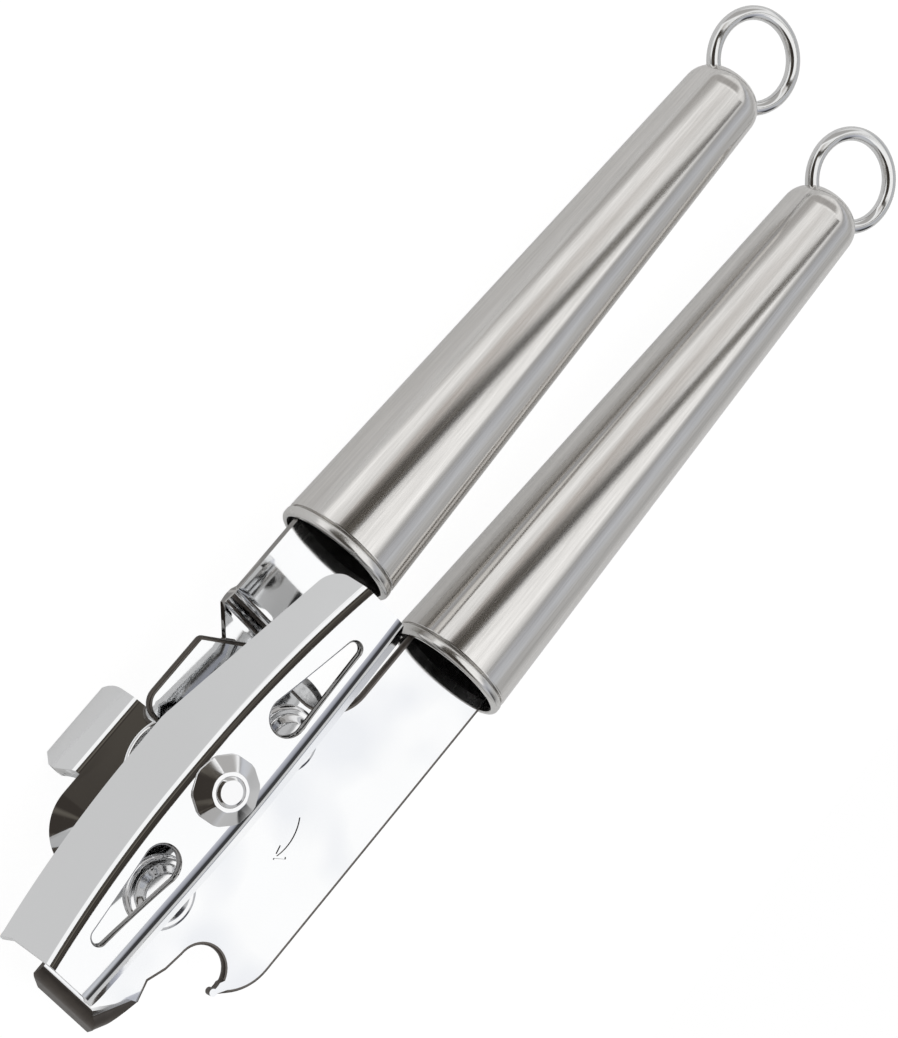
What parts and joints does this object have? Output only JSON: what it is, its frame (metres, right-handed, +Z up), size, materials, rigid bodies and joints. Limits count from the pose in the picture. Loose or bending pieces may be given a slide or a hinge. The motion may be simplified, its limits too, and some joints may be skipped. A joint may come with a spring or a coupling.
{
  "type": "manual can opener",
  "caption": "Hand-held can opener: hinged lever plates in tube handles, a butterfly turn key that drives a toothed feed wheel, a free cutting wheel, a cap notch and hang loops.",
  "frame": {"origin": "under the middle of the closed opener's box, on the surface it lies on", "axes": "+Y from the head to the hang loops, +X towards the lower plate's outer edge, +Z up on the turn key's side"},
  "size_m": [0.0472, 0.189, 0.028],
  "materials": {
    "polished_steel": "mirror polished",
    "brushed_tube": "satin, brushed along its length",
    "steel_parts": "bright zinc",
    "hard_steel": "ground",
    "insert": "moulded"
  },
  "bodies": {
    "lower_frame": {"lower_plate": "polished_steel", "lower_handle_tube": "brushed_tube", "lower_handle_collar": "polished_steel", "lower_handle_plug": "insert", "lower_tang_pin": "steel_parts", "lower_hang_loop": "polished_steel", "hinge_rivet": "steel_parts", "hinge_washer": "steel_parts", "cutter_stud": "steel_parts", "cutter_washer": "steel_parts"},
    "upper_frame": {"upper_plate": "polished_steel", "upper_handle_tube": "brushed_tube", "upper_handle_collar": "polished_steel", "upper_handle_plug": "insert", "upper_tang_pin": "steel_parts", "upper_hang_loop": "polished_steel", "drive_bushing": "steel_parts"},
    "drive": {"turn_key": "polished_steel", "key_boss": "steel_parts", "key_washer": "steel_parts", "drive_shaft": "steel_parts", "feed_wheel": "hard_steel"},
    "cutter": {"cutting_wheel": "hard_steel"}
  },
  "joints": [
    {"name": "handle_hinge", "type": "hinge", "parent": "lower_frame", "child": "upper_frame", "pos_m": [0.00006, -0.07291, 0.00865], "axis": [0, 0, 1], "range_deg": [0, 15]},
    {"name": "key_spin", "type": "hinge", "parent": "upper_frame", "child": "drive", "pos_m": [-0.00954, -0.05801, 0.01075], "axis": [0, 0, 1], "continuous": true},
    {"name": "cutter_spin", "type": "hinge", "parent": "lower_frame", "child": "cutter", "pos_m": [-0.00024, -0.04351, 0.00475], "axis": [0, 0, 1], "continuous": true}
  ]
}
